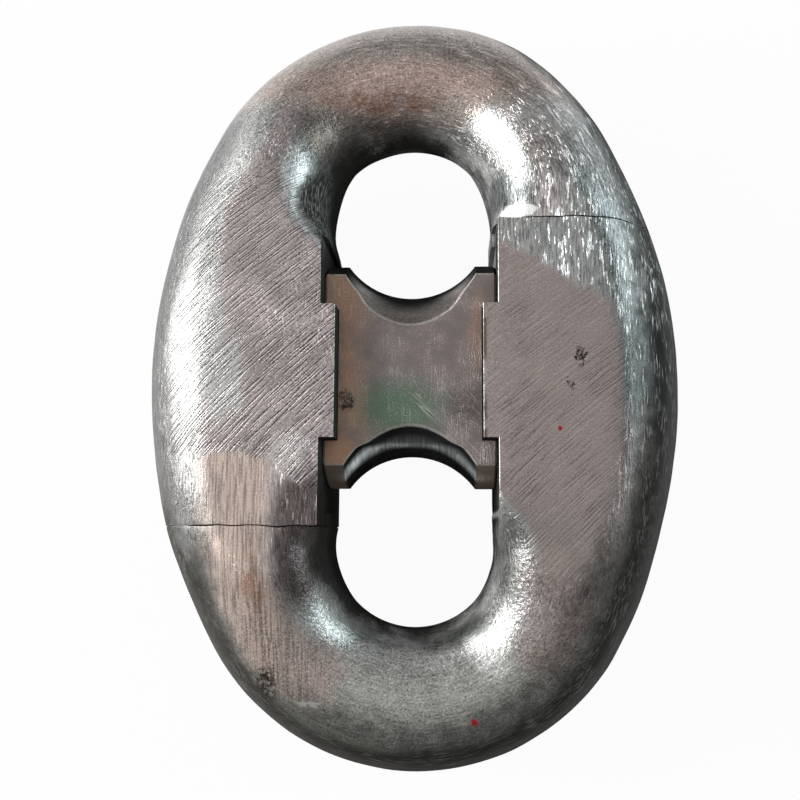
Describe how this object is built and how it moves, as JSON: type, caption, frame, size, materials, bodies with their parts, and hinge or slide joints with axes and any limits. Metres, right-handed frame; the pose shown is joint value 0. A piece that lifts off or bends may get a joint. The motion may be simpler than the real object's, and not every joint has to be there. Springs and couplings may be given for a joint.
{
  "type": "chain joining shackle",
  "caption": "Oval steel chain joining link of hooked half links with a spool-shaped centre stud, locked by a taper pin under a lead plug.",
  "frame": {"origin": "centre of the link, at mid thickness", "axes": "+X across the link, +Y along the chain, +Z through the thickness, towards the face in the picture"},
  "size_m": [0.109, 0.156, 0.0396],
  "materials": {
    "forged_steel": "bare forged steel, ground with coarse scratches, some dark scale",
    "stud_steel": "bare steel, milled faces, dark polished saddles, a little rust",
    "pin_steel": "ground bare steel",
    "lead": "hammered dull lead"
  },
  "bodies": {
    "root": {"upper_half_link": "forged_steel", "lower_half_link": "forged_steel", "centre_stud": "stud_steel", "taper_pin": "pin_steel", "lead_plug": "lead"}
  },
  "joints": []
}
